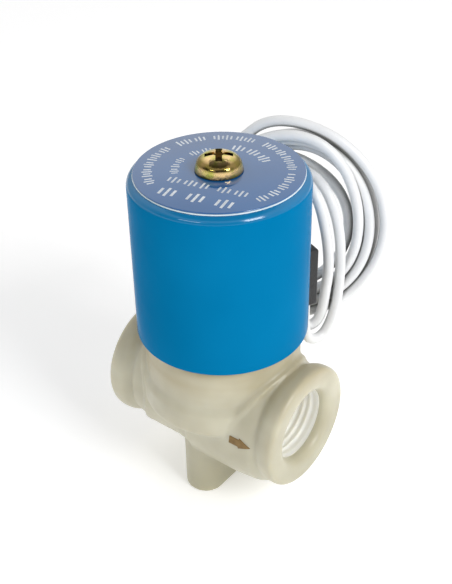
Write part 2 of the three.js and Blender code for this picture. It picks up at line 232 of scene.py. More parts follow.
def lit_socket_plastic():
    """The same plastic inside the sockets, paler and faintly glowing: painted light standing in for the light
    that comes through the thin wall.
    """
    material, principled = shader("lit_socket_plastic", (0.9, 0.88, 0.78), 0.36, Subsurface_Weight=0.6,
                                  Subsurface_Radius=(1.0, 0.9, 0.7), Subsurface_Scale=0.003,
                                  Emission_Color=(1, 0.95, 0.82, 1), Emission_Strength=0.1)
    # painted light: paler than the body's plastic, and glowing faintly
    colour = tint(material, clouds(material, 200, 2, 0.35, 0.65), (0.86, 0.84, 0.73), (0.94, 0.92, 0.82))
    join(material, colour, principled.inputs["Base Color"])
    moulded_grain(material, principled)
    return material


def blue_paint(name, ior):
    """Deep blue enamel with a slight waviness; a higher ior makes it glossier."""
    material, principled = shader(name, (0.0, 0.19, 0.43), 0.12, IOR=ior)
    colour = tint(material, clouds(material, 60), (0.0, 0.162, 0.365), (0.001, 0.182, 0.4))
    join(material, colour, principled.inputs["Base Color"])
    join(material, spread(material, noise(material, 700, 2), 0.1, 0.16), principled.inputs["Roughness"])
    bump(material, principled, noise(material, 160, 2), 0.00012)
    return material


def label_film():
    """Printed blue film under a clear, glossy coat."""
    material, principled = shader("label_film", (0.01, 0.105, 0.30), 0.12, Coat_Weight=1,
                                  Coat_Roughness=0.03, Coat_IOR=1.5)
    colour = tint(material, clouds(material, 90), (0.008, 0.095, 0.28), (0.016, 0.115, 0.32))
    join(material, colour, principled.inputs["Base Color"])
    join(material, spread(material, noise(material, 1800, 4), 0.1, 0.2), principled.inputs["Roughness"])
    bump(material, principled, noise(material, 320, 3), 0.00001)
    return material


def gold_zinc():
    """Yellow passivated zinc: gold with greenish and pinkish patches, a painted dark reflection round the
    head's shoulder and painted shade in the cross recess.
    """
    shoulder_height = 0.0019
    material, principled = shader("gold_zinc", (0.8, 0.6, 0.2), 0.12, 1)
    plated = tint(material, clouds(material, 620, 2, 0.4, 0.6), (0.62, 0.6, 0.14), (0.98, 0.7, 0.34))
    # painted reflection: a dark olive band round the head's shoulder
    from_shoulder = maths(material, "SUBTRACT", height_of(material), LABEL_TOP + shoulder_height)
    shoulder = spread(material, maths(material, "ABSOLUTE", from_shoulder), 0.85, 0, 0.0003, 0.0008)
    with_painted_reflection = mixed(material, shoulder, plated, (0.15, 0.1, 0.02))
    # painted shade: darker in the cross recess
    shade = spread(material, crevices(material, 0.0014), 1, 0, 0.55, 0.95)
    join(material, mixed(material, shade, with_painted_reflection, (0.07, 0.035, 0.008)), principled.inputs["Base Color"])
    join(material, spread(material, noise(material, 3000, 3), 0.06, 0.16), principled.inputs["Roughness"])
    bump(material, principled, noise(material, 900, 2), 0.00008)
    return material


def white_insulation():
    """White lead insulation, with painted shade turning it grey where the turns lie close together."""
    material, principled = shader("white_insulation", (0.8, 0.8, 0.8), 0.3)
    unshaded = tint(material, clouds(material, 150, 3), (0.82, 0.825, 0.83), (0.9, 0.905, 0.91))
    # painted shade: grey where the turns lie close
    shade = spread(material, crevices(material, 0.005), 1, 0, 0.05, 0.62)
    join(material, mixed(material, shade, unshaded, (0.15, 0.155, 0.145)), principled.inputs["Base Color"])
    join(material, spread(material, noise(material, 2600, 3), 0.26, 0.4), principled.inputs["Roughness"])
    bump(material, principled, noise(material, 900, 3), 0.00003)
    return material


MATERIALS = {
    "body": milky_plastic(),
    "socket": lit_socket_plastic(),
    "cover": blue_paint("blue_paint", 1.04),
    "rim": blue_paint("blue_rim_paint", 1.5),
    "label": label_film(),
    "screw": gold_zinc(),
    "lead": white_insulation(),
    "print": surface("label_print", (0.55, 0.6, 0.66), (0.74, 0.79, 0.84), (0.2, 0.4)),
    "backing": surface("label_backing", (0.62, 0.74, 0.8), (0.8, 0.9, 0.93), (0.3, 0.5)),
    "arrow": surface("arrow_print", (0.17, 0.095, 0.02), (0.25, 0.15, 0.04), (0.35, 0.55), patch=900),
    "black": surface("black_plastic", (0.006, 0.006, 0.007), (0.02, 0.02, 0.021), (0.35, 0.6),
                     height=0.00004),
    "rubber": surface("seal_rubber", (0.008, 0.008, 0.008), (0.02, 0.018, 0.017), (0.6, 0.8)),
    "brass": surface("turned_brass", (0.55, 0.38, 0.12), (0.78, 0.6, 0.26), (0.2, 0.4), 1),
    "steel": surface("drawn_steel", (0.5, 0.51, 0.53), (0.66, 0.67, 0.69), (0.2, 0.38), 1,
                     stretch=(1, 1, 0.1)),
    "zinc": surface("zinc_plate", (0.45, 0.46, 0.49), (0.62, 0.63, 0.66), (0.3, 0.5), 1),
    "copper": surface("copper_wire", (0.4, 0.12, 0.04), (0.66, 0.26, 0.1), (0.25, 0.4), 1,
                      stretch=(0.2, 0.2, 3)),
    "tape": surface("film_tape", (0.6, 0.45, 0.06), (0.72, 0.56, 0.1), (0.25, 0.4)),
    "cream": surface("cream_plastic", (0.66, 0.62, 0.5), (0.76, 0.72, 0.6), (0.4, 0.6)),
    "tin": surface("tinned_copper", (0.55, 0.55, 0.54), (0.75, 0.75, 0.73), (0.25, 0.45), 1),
    "nylon": surface("white_nylon", (0.7, 0.7, 0.67), (0.8, 0.8, 0.78), (0.4, 0.55), Subsurface_Weight=0.2),
}


# ---------------------------------------------------------------- mesh helpers

def new_object(name, vertices, faces):
    mesh = bpy.data.meshes.new(name)
    mesh.from_pydata([tuple(v) for v in vertices], [], faces)
    mesh.validate()
    obj = bpy.data.objects.new(name, mesh)
    bpy.context.collection.objects.link(obj)
    return obj


def finish_mesh(obj, material=None, angle=40):
    """Outward normals, smooth shading with edges sharper than the angle kept, and a material."""
    mesh = obj.data
    work = bmesh.new()
    work.from_mesh(mesh)
    bmesh.ops.recalc_face_normals(work, faces=work.faces)
    work.to_mesh(mesh)
    work.free()
    mesh.shade_smooth()
    mesh.set_sharp_from_angle(angle=math.radians(angle))
    if material:
        mesh.materials.clear()
        mesh.materials.append(MATERIALS[material])
    return obj


def arc(centre, radius, start, end, steps):
    """Points of an arc in a profile, degrees from +radius towards +z."""
    points = []
    for i in range(steps + 1):
        angle = math.radians(start + (end - start) * i / steps)
        points.append((centre[0] + radius * math.cos(angle), centre[1] + radius * math.sin(angle)))
    return points


def rounded_rectangle(half_x, half_y, radius, steps=5):
    """Outline of a rectangle with rounded corners about the origin."""
    points = []
    for x_side, y_side, start in ((1, 1, 0), (-1, 1, 90), (-1, -1, 180), (1, -1, 270)):
        corner = (x_side * (half_x - radius), y_side * (half_y - radius))
        points += arc(corner, radius, start, start + 90, steps)
    return points


def tube_faces(rings, sides, base=0):
    """Side faces of a tube whose points come ring after ring."""
    faces = []
    for i in range(rings - 1):
        for j in range(sides):
            a, b = base + i * sides + j, base + i * sides + (j + 1) % sides
            faces.append((a, b, b + sides, a + sides))
    return faces


def end_faces(rings, sides, base=0):
    """The two faces that close such a tube."""
    last = base + (rings - 1) * sides
    return [tuple(range(base, base + sides)), tuple(range(last, last + sides))]


def prism(name, first, second):
    """Closed solid between two outlines with the same number of points, mm."""
    count = len(first)
    vertices = [(x * MM, y * MM, z * MM) for x, y, z in (*first, *second)]
    return finish_mesh(new_object(name, vertices, end_faces(2, count) + tube_faces(2, count)))


def lathe(name, profile, facets=128):
    """Closed solid of revolution about Z from (radius, z) pairs in mm; pairs on the axis become one point."""
    vertices, rings, faces = [], [], []
    for radius, z in profile:
        if radius < 1e-6:
            rings.append([len(vertices)] * facets)
            vertices.append((0, 0, z * MM))
        else:
            rings.append(list(range(len(vertices), len(vertices) + facets)))
            for i in range(facets):
                angle = 2 * math.pi * i / facets
                vertices.append((radius * math.cos(angle) * MM, radius * math.sin(angle) * MM, z * MM))
    pairs = list(zip(rings, rings[1:]))
    if profile[0][0] > 1e-6:
        pairs.append((rings[-1], rings[0]))
    for low, high in pairs:
        for i in range(facets):
            j = (i + 1) % facets
            face = []
            for index in (low[i], low[j], high[j], high[i]):
                if index not in face:
                    face.append(index)
            if len(face) > 2:
                faces.append(face)
    return finish_mesh(new_object(name, vertices, faces))


def rod(name, radius, start, end):
    """Plain round bar about Z, mm."""
    return lathe(name, [(0, start), (radius, start), (radius, end), (0, end)], 48)


def oblong(name, radius, half_span, low, high):
    """Upright slab with round ends, long in Y, mm."""
    steps = 24
    outline = []
    for centre, start in ((half_span, 0), (-half_span, math.pi)):
        for i in range(steps + 1):
            angle = start + math.pi * i / steps
            outline.append((radius * math.cos(angle), centre + radius * math.sin(angle)))
    return prism(name, *([(x, y, z) for x, y in outline] for z in (low, high)))


def along_x(obj, z):
    """Turns a solid made about Z so that it lies about +X at the given height in mm."""
    obj.data.transform(Matrix.Translation((0, 0, z * MM)) @ Matrix.Rotation(math.pi / 2, 4, "Y"))
    return obj


def box(name, size, centre, turn=None, unit=MM):
    work = bmesh.new()
    bmesh.ops.create_cube(work, size=1)
    mesh = bpy.data.meshes.new(name)
    work.to_mesh(mesh)
    work.free()
    mesh.transform(Matrix.Diagonal((*[s * unit for s in size], 1)))
    mesh.transform(Matrix.Translation([c * unit for c in centre]))
    if turn:
        mesh.transform(turn)
    obj = bpy.data.objects.new(name, mesh)
    bpy.context.collection.objects.link(obj)
    return obj


def settle_modifiers(obj):
    """Applies an object's modifiers to its mesh."""
    graph = bpy.context.evaluated_depsgraph_get()
    graph.update()
    mesh = bpy.data.meshes.new_from_object(obj.evaluated_get(graph))
    obj.modifiers.clear()
    obj.data = mesh
    return obj


def cut(obj, other, operation="DIFFERENCE"):
    """Joins or cuts one solid by another, which is used up."""
    modifier = obj.modifiers.new("cut", "BOOLEAN")
    modifier.operation = operation
    modifier.solver = "EXACT"
    modifier.object = other
    settle_modifiers(obj)
    bpy.data.objects.remove(other)
    return obj


def soften(obj, width, segments=2, angle=35, unit=MM):
    """Rounds every edge sharper than the angle."""
    modifier = obj.modifiers.new("soften", "BEVEL")
    modifier.width = width * unit
    modifier.segments = segments
    modifier.limit_method = "ANGLE"
    modifier.angle_limit = math.radians(angle)
    modifier.harden_normals = False
    return settle_modifiers(obj)


def fit(obj, body, slot, *nodes):
    """Puts a finished piece on its body in place of CAD nodes, which it hides; the slot is not used."""
    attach(obj, body)
    if nodes:
        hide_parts(*nodes)
    return obj


# ---------------------------------------------------------------- flying leads

# width in mm
LEAD_WIDTH = 2.05
# the leads' own frame is turned about the coil; the ring's middle and tilt are given in it, mm
LEADS_TURN = Matrix.Rotation(math.radians(38.4), 3, "Z")
RING_CENTRE = Vector((12.1, 20.3, 43.4))
RING_TURN = Matrix.Rotation(math.radians(-9.5), 3, "Z") @ Matrix.Rotation(math.radians(-13.3), 3, "X")

# free stretch of each lead in the leads' own frame, mm
ROUTES = {
    "a": [(13.8, 9.1, 34.2), (14, 9.3, 31.5), (14.4, 9.6, 28.2), (15.3, 10.2, 26.1), (16.9, 10.9, 25.1),
          (18.4, 11.3, 26.1), (19.3, 11.6, 28.5), (19.8, 11.8, 32.5), (20.2, 12, 37.5), (19.9, 12.3, 42.5),
          (19, 12.9, 47.5), (17.7, 14.1, 51.7), (15.8, 16.5, 54), (13.3, 19.2, 55.1), (10.9, 21, 55.3)],
    "b": [(15.4, 6.1, 34.2), (15.4, 6.3, 31), (15.6, 6.6, 27.6), (16.3, 7.4, 25), (17.8, 8.8, 23.4),
          (19.6, 10.1, 23.8), (21, 11, 26.2), (21.9, 11.7, 29.6), (22.4, 12.4, 33.6), (22.6, 13.4, 38.5),
          (22.2, 14.1, 44), (21.1, 15.2, 48.6), (19.6, 17.2, 51.8), (17.8, 19.5, 53.6), (15.6, 21.7, 54.5)],
}

# the wound stretch of each lead: (angle about the ring's axis, radius, offset along the axis), in degrees
# and mm; a point of a lap that names no offset keeps to its lead's own layer
LAYER = {"a": -1.05, "b": 1.05}
LEAD_IN = {
    "a": [(106, 11.9, -1.05), (128, 12.8, -2.6), (152, 15, -3.1), (178, 17.6, -3.1), (205, 19.1, -2.4),
          (235, 19.1, -1.2)],
    "b": [(92, 11.9, 0.95), (114, 12.6, 2.5), (138, 14.6, 3.1), (164, 17, 3.1), (192, 18.9, 2.5),
          (225, 18.6, 1.2)],
}
LAPS = {
    "a": [
        [(-90, 19.1), (-55, 19.3), (-20, 19.6), (4, 19.6), (31, 19.4), (60, 19.4), (80, 19.8), (93, 20.2),
         (104, 20.1), (112, 19.2), (122, 17.8)],
        [(-90, 17.1), (-55, 17.3), (-25, 17.1), (2, 16.7), (33, 16.8), (50, 17.1), (65, 17.1), (85, 16.6),
         (105, 16.2)],
        [(-90, 15.1), (-55, 15.5), (-31, 15.4), (-10, 14.9), (10, 14.8, -1.3), (25, 15.1, -2.1),
         (40, 15.9, -2.9), (56, 17.1, -3.1), (71, 17.8, -3.1), (88, 17.8, -3.1), (105, 17.2, -3)],
    ],
    "b": [
        [(-90, 18.1), (-60, 18.1), (-30, 18), (0, 17.7), (30, 17.6), (60, 17.7), (85, 17.4), (105, 16.2)],
        [(-90, 16), (-60, 16), (-30, 15.9), (0, 15.7), (30, 15.6), (60, 15.6), (85, 15.3), (105, 14.4)],
        [(-90, 13.9), (-60, 13.6), (-30, 13.3), (0, 12.9), (30, 12.4), (60, 12.2), (85, 12.4), (105, 12.4)],
    ],
}
LEAD_OUT = {
    "a": [(1215, 15.4, -3.1), (1240, 13, -2.6), (1270, 11.8, -1.2), (1312, 11.8, -1.2)],
    "b": [(1215, 12.8, 1.05), (1240, 12.2, 1.15), (1270, 11.8, 1.2), (1328, 11.8, 1.2)],
}
# slight waviness of the laps, mm, and the angles between which it comes in and has gone again
WAVE = 0.12
WAVE_SPAN = (250, 1200)
WAVE_EASE = 60


def smooth_path(points, steps):
    """Catmull-Rom curve through rows of numbers, with the given steps between neighbours."""
    rows = np.array(points, float)
    padded = np.vstack((2 * rows[0] - rows[1], rows, 2 * rows[-1] - rows[-2]))
    made = []
    for i in range(1, len(padded) - 2):
        before, start, end, after = padded[i - 1:i + 3]
        for t in np.arange(steps) / steps:
            made.append(0.5 * (2 * start + (end - before) * t
                               + (2 * before - 5 * start + 4 * end - after) * t * t
                               + (3 * start - before - 3 * end + after) * t ** 3))
    made.append(rows[-1])
    return np.array(made)


def wound_controls(letter):
    """The given points of a lead's wound stretch, lap after lap."""
    controls = list(LEAD_IN[letter])
    for lap, points in enumerate(LAPS[letter], 1):
        for angle, radius, *offset in points:
            controls.append((angle + 360 * lap, radius, offset[0] if offset else LAYER[letter]))
    return controls + LEAD_OUT[letter]


def clamped(value):
    return min(1, max(0, value))


def wound(letter):
    """Path of a lead's wound stretch in the leads' own frame, mm."""
    side = -1 if letter == "a" else 1
    begin, end = WAVE_SPAN
    points = []
    for angle, radius, offset in smooth_path(wound_controls(letter), 12):
        turn = math.radians(angle)
        wave = WAVE * clamped((angle - begin) / WAVE_EASE) * clamped((end - angle) / WAVE_EASE)
        radius += wave * math.sin(2.3 * turn + side)
        offset += wave * math.sin(1.7 * turn + 2 * side)
        local = Vector((radius * math.cos(turn), offset, radius * math.sin(turn)))
        points.append(RING_CENTRE + RING_TURN @ local)
    return points


def even(points, step):
    """The same path with points an even distance apart."""
    rows = np.array([tuple(p) for p in points])
    travelled = np.concatenate(([0], np.cumsum(np.linalg.norm(np.diff(rows, axis=0), axis=1))))
    wanted = np.linspace(0, travelled[-1], int(travelled[-1] / step) + 1)
    return np.stack([np.interp(wanted, travelled, rows[:, i]) for i in range(3)], axis=1)


def looseness(count):
    """How far each point of a lead may move: not at all on its free stretch or at its tip."""
    free, free_ease, tip, tip_ease = 48, 10, 3, 6
    place = np.arange(count)
    return np.clip((place - free) / free_ease, 0, 1) * np.clip((count - tip - place) / tip_ease, 0, 1)


def part_turns(paths, rounds=60):
    """Eases apart stretches of lead that lie closer than one lead's width, and keeps each one smooth."""
    neighbours, push_share, smooth_share = 6, 0.22, 0.25
    want = LEAD_WIDTH * 0.98
    rows = np.vstack(paths)
    owner = np.concatenate([np.full(len(path), i) for i, path in enumerate(paths)])
    order = np.concatenate([np.arange(len(path)) for path in paths])
    one_lead = owner[:, None] == owner[None, :]
    near_self = one_lead & (np.abs(order[:, None] - order[None, :]) < neighbours)
    loose = np.concatenate([looseness(len(path)) for path in paths])[:, None]
    ends = np.cumsum([len(path) for path in paths])[:-1]
    for _ in range(rounds):
        apart = rows[:, None, :] - rows[None, :, :]
        distance = np.linalg.norm(apart, axis=2) + 1e-9
        short = np.clip(want - distance, 0, None)
        short[near_self] = 0
        push = (apart / distance[:, :, None] * short[:, :, None]).sum(axis=1) * push_share
        rows = rows + push * loose
        for lead, share in zip(np.split(rows, ends), np.split(loose, ends)):
            bend = (lead[:-2] + lead[2:]) / 2 - lead[1:-1]
            lead[1:-1] += smooth_share * bend * share[1:-1]
    return np.split(rows, ends)


def thinned(rows):
    """Every second point, and the last one."""
    kept = rows[::2]
    return kept if len(rows) % 2 else np.vstack((kept, rows[-1:]))


def lead_curve(name, rows):
    data = bpy.data.curves.new(name, "CURVE")
    data.dimensions = "3D"
    data.bevel_depth = LEAD_WIDTH / 2 * MM
    data.bevel_resolution = 4
    data.use_fill_caps = True
    spline = data.splines.new("POLY")
    spline.points.add(len(rows) - 1)
    for point, row in zip(spline.points, rows):
        point.co = (*(LEADS_TURN @ Vector(row) * MM), 1)
    spline.use_smooth = True
    data.materials.append(MATERIALS["lead"])
    obj = bpy.data.objects.new(name, data)
    bpy.context.collection.objects.link(obj)
    return obj


def twisted_tip(name, rows):
    """Seven tinned strands, six twisted round one, that stick out of the insulation; mm."""
    start, ahead = Vector(rows[-1]), Vector(rows[-1] - rows[-4]).normalized()
    side = ahead.cross(Vector((0, 0, 1))).normalized()
    other = ahead.cross(side)
    length, hidden, strand, sides, steps = 5.0, 0.6, 0.19, 8, 14
    twist_per_mm = 70
    vertices, faces = [], []
    for k in range(7):
        reach = 0 if k == 6 else 2.05 * strand
        for i in range(steps + 1):
            along = -hidden + (length + hidden) * i / steps
            twist = math.radians(60 * k + twist_per_mm * along)
            middle = start + ahead * along + reach * (math.cos(twist) * side + math.sin(twist) * other)
            for j in range(sides):
                angle = 2 * math.pi * j / sides
                vertices.append(middle + strand * (math.cos(angle) * side + math.sin(angle) * other))
        base = k * (steps + 1) * sides
        faces += tube_faces(steps + 1, sides, base) + end_faces(steps + 1, sides, base)
    placed = [tuple(LEADS_TURN @ Vector(v) * MM) for v in vertices]
    return finish_mesh(new_object(name, placed, faces), "tin")


def make_leads():
    """Both leads with their bare tips; lead a also stands for the ring of turns."""
    paths = []
    for letter in "ab":
        free = smooth_path(ROUTES[letter], 8)
        paths.append(even([*free[:-1], *wound(letter)], 0.9))
    for letter, path in zip("ab", part_turns(paths)):
        rows = smooth_path(thinned(path), 3)
        lead = lead_curve(f"lead_{letter}_wire", rows)
        tip = twisted_tip(f"lead_{letter}_strands", rows)
        fit(tip, "coil_unit", "tip_tinned", f"lead_{letter}_tip")
        nodes = [f"lead_{letter}", f"lead_{letter}_tail"]
        if letter == "a":
            nodes.append("lead_ring")
        fit(lead, "coil_unit", "lead_insulation", *nodes)


make_leads()


# ---------------------------------------------------------------- valve body

# all in mm: heights of the ports' axis and of the outlet's barrel, then the slabs and hollows
PORT_Z = 19
BARREL_Z = 17.7
SADDLE = {"radius": 6.2, "half_span": 5.25, "low": 13.8, "high": PORT_Z}
FOOT = {"radius": 3.8, "half_span": 6.25, "low": 0, "high": 14}
HOLE = {"radius": 1.5, "depth": 9}
SOCKET = {"radius": 6.75, "floor": 8.2, "mouth": 19.2, "rounding": 2}
# passages from the sockets to the valve seat: height, and first and last X
PASSAGE_RADIUS = 1.75
PASSAGES = [(17.2, 0, 8.7), (22.8, -8.7, -5)]


def both_ports(name):
    """Both ports about X: plain middle, shallow waists, then collars with well-rounded rims."""
    half = [(11, 13.4), (10.3, 14.2), (10.7, 15), (11.3, 15.9), (11.6, 16.9),
            *arc((10.65, 18.25), 0.95, 0, 90, 8), (0, 19.2)]
    other = [(radius, -x) for radius, x in reversed(half)]
    return along_x(lathe(name, other + half), PORT_Z)


def port_middle():
    """Plain middle between the collars, cut to the round of the neck above it."""
    radius, reach, half_length = 11.7, 15.3, 17
    middle = along_x(lathe("middle", [(0, -half_length), (radius, -half_length), (radius, half_length),
                                      (0, half_length)]), PORT_Z)
    return cut(middle, lathe("round", [(0, 1), (reach, 1), (reach, 33), (0, 33)]), "INTERSECT")


def add_walls(body):
    """Joins the middle, barrel, neck, saddle and foot to the ports."""
    cut(body, port_middle(), "UNION")
    barrel = lathe("barrel", [(0, 0), (12, 0), (12, 10.2), (11.6, 14.2), (10.8, 16), (0, 16)])
    cut(body, along_x(barrel, BARREL_Z), "UNION")
    neck = lathe("neck", [(0, 17.6), (12.6, 17.6), (15, 20), (15, 24), (14.25, 25.8), (14.25, 33.4),
                          *arc((13.65, 33.4), 0.6, 0, 90, 5), (0, 34)])
    cut(body, neck, "UNION")
    for slab in (SADDLE, FOOT):
        cut(body, oblong("slab", **slab), "UNION")


def cut_hollows(body):
    """Cuts the sockets, the chamber with its seat and orifice, the foot's holes and the passages."""
    mouth, rounding = SOCKET["mouth"], SOCKET["rounding"]
    rim = SOCKET["radius"] + rounding
    for turn in (0, math.pi):
        socket = along_x(lathe("socket", [(0, SOCKET["floor"]), (SOCKET["radius"], SOCKET["floor"]),
                                          *arc((rim, mouth - rounding), rounding, 180, 90, 8),
                                          (rim, 20), (0, 20)], 96), PORT_Z)
        socket.data.transform(Matrix.Rotation(turn, 4, "Z"))
        cut(body, socket)
    cut(body, lathe("chamber", [(0, 23.2), (2.4, 23.2), (2.4, 20.6), (6.5, 20.6), (6.5, 26.5), (10.1, 26.5),
                                (10.1, 36), (0, 36)]))
    cut(body, rod("orifice", 1.25, 17.2, 24))
    for side in (-1, 1):
        hole = rod("hole", HOLE["radius"], -1, HOLE["depth"])
        hole.data.transform(Matrix.Translation((0, side * FOOT["half_span"] * MM, 0)))
        cut(body, hole)
    for height, start, end in PASSAGES:
        cut(body, along_x(rod("passage", PASSAGE_RADIUS, start, end), height))


def valve_body():
    body = both_ports("valve_body_shell")
    add_walls(body)
    cut_hollows(body)
    remesh = body.modifiers.new("remesh", "REMESH")
    remesh.mode = "VOXEL"
    remesh.voxel_size = 0.28 * MM
    settle_modifiers(body)
    easing = body.modifiers.new("ease", "SMOOTH")
    easing.factor = 0.5
    easing.iterations = 12
    settle_modifiers(body)
    finish_mesh(body, "body", 180)
    return fit(body, "valve", "body_plastic", "valve_body")


def thread_sleeve(name, turn):
    """Internal pipe thread of a socket: a thin sleeve whose inner side is the helical thread."""
    pitch, crest, root, outer = 1.337, 6.3, 6.65, 6.95
    low, high, run_out = 8.5, 17.1, 2
    facets, per_pitch = 72, 8
    rows = int((high - low) / pitch * per_pitch) + 1
    vertices = []
    for layer in (0, 1):
        for i in range(rows):
            x = low + (high - low) * i / (rows - 1)
            depth = (root - crest) * min(1, (high - x) / run_out)
            for j in range(facets):
                angle = 2 * math.pi * j / facets
                phase = (x / pitch - j / facets) % 1
                ridge = 0.5 - 0.5 * math.cos(2 * math.pi * phase)
                radius = outer if layer else root - depth * ridge ** 1.4
                y, z = radius * math.cos(angle), PORT_Z + radius * math.sin(angle)
                vertices.append((x * MM, y * MM, z * MM))
    block = rows * facets
    faces = tube_faces(rows, facets) + tube_faces(rows, facets, block)
    for i in (0, rows - 1):
        for j in range(facets):
            a, b = i * facets + j, i * facets + (j + 1) % facets
            faces.append((a, b, b + block, a + block))
    sleeve = new_object(name, vertices, faces)
    sleeve.data.transform(Matrix.Rotation(turn, 4, "Z"))
    return fit(finish_mesh(sleeve, "socket", 60), "valve", "body_plastic")


def laid_on(obj, target):
    """Pushes every point along +Y until it meets the target, and gives the points."""
    wrap = obj.modifiers.new("wrap", "SHRINKWRAP")
    wrap.target = target
    wrap.wrap_method = "PROJECT"
    wrap.use_project_y = True
    wrap.use_positive_direction = True
    wrap.use_negative_direction = False
    settle_modifiers(obj)
    return [Vector(vertex.co) for vertex in obj.data.vertices]


def flow_arrow(body):
    """Arrow on the front of the outlet port, laid on its curved surface."""
    tail, tip, stem, head, head_length = 10.3, 14.5, 0.68, 1.0, 2.3
    middle, droop, blunt, in_front = 20.1, 0.09, 0.02, -20
    steps, across = 28, 8
    column = across + 1
    vertices, faces = [], []
    for i in range(steps + 1):
        x = tail + (tip - tail) * i / steps
        half = stem if x < tip - head_length else head * (tip - x) / head_length + blunt
        for j in range(column):
            z = middle - droop * (x - tail) + half * (2 * j / across - 1)
            vertices.append((x * MM, in_front * MM, z * MM))
    for i in range(steps):
        for j in range(across):
            a = i * column + j
            faces.append((a, a + column, a + column + 1, a + 1))
    arrow = new_object("flow_arrow_print", vertices, faces)
    rows = laid_on(arrow, body)
    bpy.data.objects.remove(arrow)

    count = len(rows)
    proud = Vector((0, -0.12 * MM, 0))
    solid = [tuple(v + proud) for v in rows] + [tuple(v - proud * 2) for v in rows]
    rim = list(range(column)) + [i * column + across for i in range(1, steps + 1)]
    rim += [steps * column + j for j in range(across - 1, -1, -1)]
    rim += [i * column for i in range(steps - 1, 0, -1)]
    sides = [(a, b, b + count, a + count) for a, b in zip(rim, rim[1:] + rim[:1])]
    faces = faces + [tuple(i + count for i in face) for face in faces] + sides
    made = finish_mesh(new_object("flow_arrow_print", solid, faces), "arrow", 50)
    return fit(made, "valve", "arrow_print", "flow_arrow")


body_shell = valve_body()
thread_sleeve("outlet_thread", 0)
thread_sleeve("inlet_thread", math.pi)
flow_arrow(body_shell)


# ---------------------------------------------------------------- coil unit

# black block where the leads come out of the cover: its place round the coil, and its middle, mm
OUTLET_TURN = Matrix.Rotation(math.radians(66), 4, "Z")
OUTLET_Z = 40.55
# the cover's rim, where the enamel is thicker, starts at this height, mm
RIM_Z = 63.85


def coil_cover():
    cover = lathe("coil_cover_shell", [
        (2.4, 63.7), (14.3, 63.7), (14.3, 34.5), (14.5, 34.3), *arc((15.2, 34.6), 0.3, -90, 0, 4),
        (15.5, 40), (15.5, 50), (15.5, 60), *arc((13.9, 63.3), 1.6, 0, 90, 10), (2.4, 64.9),
    ], 192)
    cut(cover, box("notch", (9, 8.6, 12.5), (15.2, 0, OUTLET_Z), OUTLET_TURN))
    soften(cover, 0.18, 2, 60)
    finish_mesh(cover, "cover", 30)
    cover.data.materials.append(MATERIALS["rim"])
    for face in cover.data.polygons:
        if face.center.z > RIM_Z * MM:
            face.material_index = 1
    return fit(cover, "coil_unit", "cover_paint", "coil_cover")


def disc(name, radius, low, thick):
    """Flat ring round the screw, with a rounded outer edge, mm."""
    bore, edge = 2.6, thick / 2
    outer = arc((radius, low + edge), edge, -90, 90, 6)
    return lathe(name, [(bore, low), (radius, low), *outer, (bore, low + thick)], 192)


def rating_label():
    """The printed film and the slightly wider pale backing under it."""
    film = disc("rating_label_film", 14.2, 65.15, 0.24)
    fit(finish_mesh(film, "label", 30), "coil_unit", "label_film", "rating_label")
    backing = disc("label_backing", 14.28, 64.9, 0.24)
    fit(finish_mesh(backing, "backing", 30), "coil_unit", "label_film")


# the print reads along this direction, degrees from +X; every mark is a plain upright bar, mm
PRINT_TURN = 13.4
# words round the label: radius, start, bar height, bar width, pitch, then how many bars each word has;
# a negative number is a gap of so many bars
ARCS = [
    (11.9, 226, 1.75, 0.32, 0.74, (3, 4, 3, 4, 3, -2, 4, 3, -1, 5, 5, -2, 4, 3, 4)),
    (7.4, 212, 1.5, 0.26, 0.66, (3, 2, 3, -2, 3, 3)),
    (8.3, 97, 2.1, 0.36, 0.86, (3, 3, 3)),
    (12.0, 30, 1.75, 0.32, 0.74, (3, -1, 1, 3, 3, 3, 3)),
]
# straight rows: distance from the middle towards the front, left end, then the same
ROWS = [
    (6.05, -6.1, 1.9, 0.34, 0.86, (3, 3, 2, -1, 3, 3)),
    (10.05, -5.6, 2.7, 0.46, 1.12, (3, -1, 3, -1, 3)),
]


def bars(words, pitch):
    """Distance along the line of each bar and its share of the full height."""
    word_gap, shorter = 0.45, 0.3
    travelled = 0
    for count in words:
        if count < 0:
            travelled += -count * pitch
            continue
        for k in range(count):
            yield travelled, 1 - shorter * ((k + count) % 2)
            travelled += pitch
        travelled += word_gap * pitch


def printed_marks():
    """Rows and arcs of plain upright bars in place of print, just proud of the label."""
    vertices, faces = [], []
    low, high = LABEL_TOP - 0.000015, LABEL_TOP + 0.000003

    def bar(place, direction, height, width):
        along = Vector((math.cos(direction), math.sin(direction), 0)) * width / 2 * MM
        across = Vector((-math.sin(direction), math.cos(direction), 0)) * height / 2 * MM
        base = len(vertices)
        middle = Vector((*place, 0)) * MM
        for z in (low, high):
            for i, j in ((-1, -1), (1, -1), (1, 1), (-1, 1)):
                corner = middle + i * along + j * across
                vertices.append((corner.x, corner.y, z))
        faces.extend([(base, base + 1, base + 2, base + 3), (base + 4, base + 5, base + 6, base + 7)])
        faces.extend([(base + k, base + (k + 1) % 4, base + 4 + (k + 1) % 4, base + 4 + k) for k in range(4)])

    for radius, start, height, width, pitch, words in ARCS:
        for travelled, share in bars(words, pitch):
            angle = math.radians(PRINT_TURN + start) - travelled / radius
            place = (radius * math.cos(angle), radius * math.sin(angle))
            bar(place, angle - math.pi / 2, height * share, width)
    turn = Matrix.Rotation(math.radians(PRINT_TURN), 2)
    for forward, left, height, width, pitch, words in ROWS:
        for travelled, share in bars(words, pitch):
            place = turn @ Vector((left + travelled, -forward))
            bar(place, math.radians(PRINT_TURN), height * share, width)
    marks = finish_mesh(new_object("label_marks", vertices, faces), "print", 60)
    return fit(marks, "coil_unit", "label_film")


